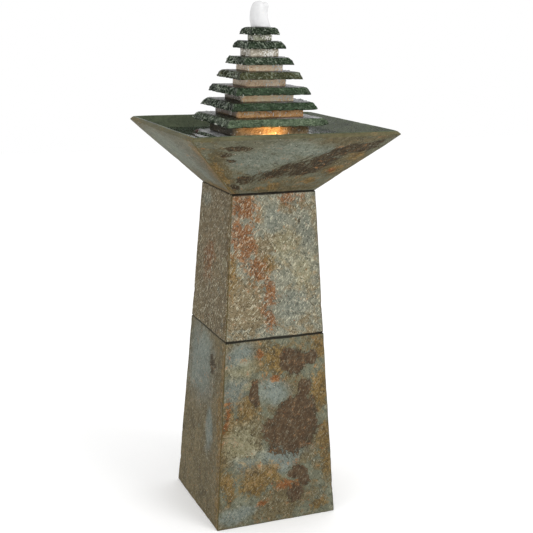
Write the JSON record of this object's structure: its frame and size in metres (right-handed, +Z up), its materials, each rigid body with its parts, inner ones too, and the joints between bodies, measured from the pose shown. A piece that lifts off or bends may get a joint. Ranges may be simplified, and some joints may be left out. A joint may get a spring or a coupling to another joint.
{
  "type": "tiered water fountain",
  "caption": "Square slate-panelled pedestal with a flared basin and a stepped stack of slate plates that water wells up through and runs down, lit from inside the basin.",
  "frame": {"origin": "middle of the foot, on the ground", "axes": "+Z up along the water column; the front side, where the light stands, faces -Y; the lead notch is at the back, +Y"},
  "size_m": [0.5118, 0.5118, 1.281],
  "materials": {
    "slate_lower": "riven",
    "slate_upper": "riven",
    "slate_basin": "riven",
    "slate_plate": "wet, riven",
    "slate_spacer": "wet, sawn",
    "slate_block": "sawn",
    "resin": "satin",
    "sealant": "satin",
    "black_rubber": "matte",
    "pump_plastic": "satin",
    "knob_plastic": "satin",
    "impeller_plastic": "gloss",
    "magnet": "matte",
    "shaft_ceramic": "polished",
    "clear_tube": "clear",
    "water": "aerated water",
    "light_plastic": "satin",
    "lens_glass": "clear",
    "led_board": "lit",
    "stainless": "brushed"
  },
  "bodies": {
    "lower_pedestal": {"lower_panel_front": "slate_lower", "lower_panel_right": "slate_lower", "lower_panel_back": "slate_lower", "lower_panel_left": "slate_lower", "lower_corner_strips": "resin", "lower_locating_blocks": "slate_block"},
    "upper_pedestal": {"upper_panel_front": "slate_upper", "upper_panel_right": "slate_upper", "upper_panel_back": "slate_upper", "upper_panel_left": "slate_upper", "upper_corner_strips": "resin"},
    "basin": {"basin_panel_front": "slate_basin", "basin_panel_right": "slate_basin", "basin_panel_back": "slate_basin", "basin_panel_left": "slate_basin", "basin_floor": "slate_basin", "basin_sealant": "sealant", "basin_locating_blocks": "slate_block", "cord_grommet": "black_rubber", "pump_housing": "pump_plastic", "pump_cover": "pump_plastic", "pump_shaft": "shaft_ceramic", "pump_outlet": "pump_plastic", "pump_suction_cups": "black_rubber", "pump_gland": "black_rubber", "light_bracket": "light_plastic", "light_suction_cup": "black_rubber", "light_screws": "stainless"},
    "impeller": {"impeller_wheel": "impeller_plastic", "rotor_magnet": "magnet"},
    "strainer": {"strainer_cover": "pump_plastic"},
    "regulator_knob": {"flow_regulator": "knob_plastic"},
    "light_head": {"light_housing": "light_plastic", "light_bezel": "light_plastic", "light_lens": "lens_glass", "light_seal": "black_rubber", "light_led": "led_board", "light_gland": "black_rubber"},
    "tower": {"slate_1": "slate_plate", "slate_2": "slate_plate", "slate_3": "slate_plate", "slate_4": "slate_plate", "slate_5": "slate_plate", "slate_6": "slate_plate", "slate_7": "slate_plate", "slate_8": "slate_plate", "spacer_1": "slate_spacer", "spacer_2": "slate_spacer", "spacer_3": "slate_spacer", "spacer_4": "slate_spacer", "spacer_5": "slate_spacer", "spacer_6": "slate_spacer", "spacer_7": "slate_spacer", "tower_legs": "slate_plate", "riser_tube": "clear_tube", "spout_collar": "black_rubber", "water_plume": "water"}
  },
  "joints": [
    {"name": "upper_pedestal_lift", "type": "slide", "parent": "lower_pedestal", "child": "upper_pedestal", "axis": [0, 0, 1], "range_m": [0, 0.08]},
    {"name": "basin_lift", "type": "slide", "parent": "upper_pedestal", "child": "basin", "axis": [0, 0, 1], "range_m": [0, 0.08]},
    {"name": "tower_lift", "type": "slide", "parent": "basin", "child": "tower", "axis": [0, 0, 1], "range_m": [0, 0.3]},
    {"name": "impeller_spin", "type": "hinge", "parent": "basin", "child": "impeller", "pos_m": [0, 0, 0.873], "axis": [0, 1, 0], "continuous": true},
    {"name": "strainer_pull", "type": "slide", "parent": "basin", "child": "strainer", "axis": [0, -1, 0], "range_m": [0, 0.025]},
    {"name": "flow_regulator_turn", "type": "hinge", "parent": "basin", "child": "regulator_knob", "pos_m": [0.0243, -0.002, 0.865], "axis": [1, 0, 0], "range_deg": [0, 90]},
    {"name": "light_tilt", "type": "hinge", "parent": "basin", "child": "light_head", "pos_m": [0.004, -0.158, 0.952], "axis": [1, 0, 0], "range_deg": [-20, 50]}
  ]
}
